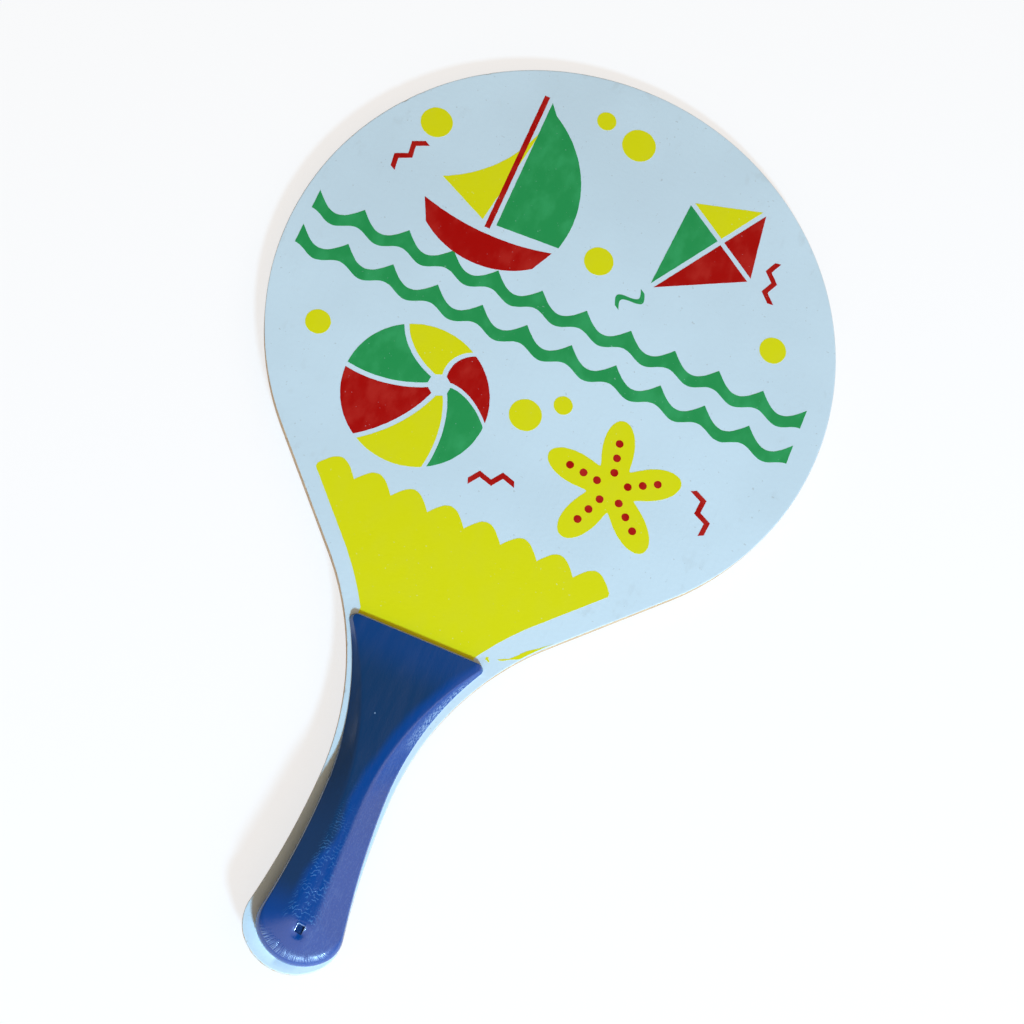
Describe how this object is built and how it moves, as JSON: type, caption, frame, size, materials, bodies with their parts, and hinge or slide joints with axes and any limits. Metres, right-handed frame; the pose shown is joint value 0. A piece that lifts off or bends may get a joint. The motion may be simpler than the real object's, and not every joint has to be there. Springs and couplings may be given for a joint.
{
  "type": "beach paddle",
  "caption": "Round-headed plywood beach bat, its tang sandwiched between blue half-round wooden grip scales held by brads, for hitting a small ball back and forth.",
  "frame": {"origin": "bottom centre of the bounding box: under the middle of the paddle's length and width, at the crown of the back grip scale", "axes": "+Y along the paddle towards the head, +Z out of the printed face, +X to the right seen from the printed face"},
  "size_m": [0.228, 0.3794, 0.026],
  "materials": {
    "back_face_veneer": "white paint, satin, on the outer face",
    "back_crossband": "bare",
    "core_veneer": "bare",
    "front_crossband": "bare",
    "front_face_veneer": "white paint, satin, printed on the outer face",
    "front_grip_scale": "gloss blue enamel",
    "back_grip_scale": "gloss blue enamel",
    "front_lower_brad": "enamelled over",
    "front_upper_brad": "enamelled over",
    "back_lower_brad": "enamelled over",
    "back_upper_brad": "enamelled over"
  },
  "bodies": {
    "root": {"back_face_veneer": "back_face_veneer", "back_crossband": "back_crossband", "core_veneer": "core_veneer", "front_crossband": "front_crossband", "front_face_veneer": "front_face_veneer", "front_grip_scale": "front_grip_scale", "back_grip_scale": "back_grip_scale", "front_lower_brad": "front_lower_brad", "front_upper_brad": "front_upper_brad", "back_lower_brad": "back_lower_brad", "back_upper_brad": "back_upper_brad"}
  },
  "joints": []
}
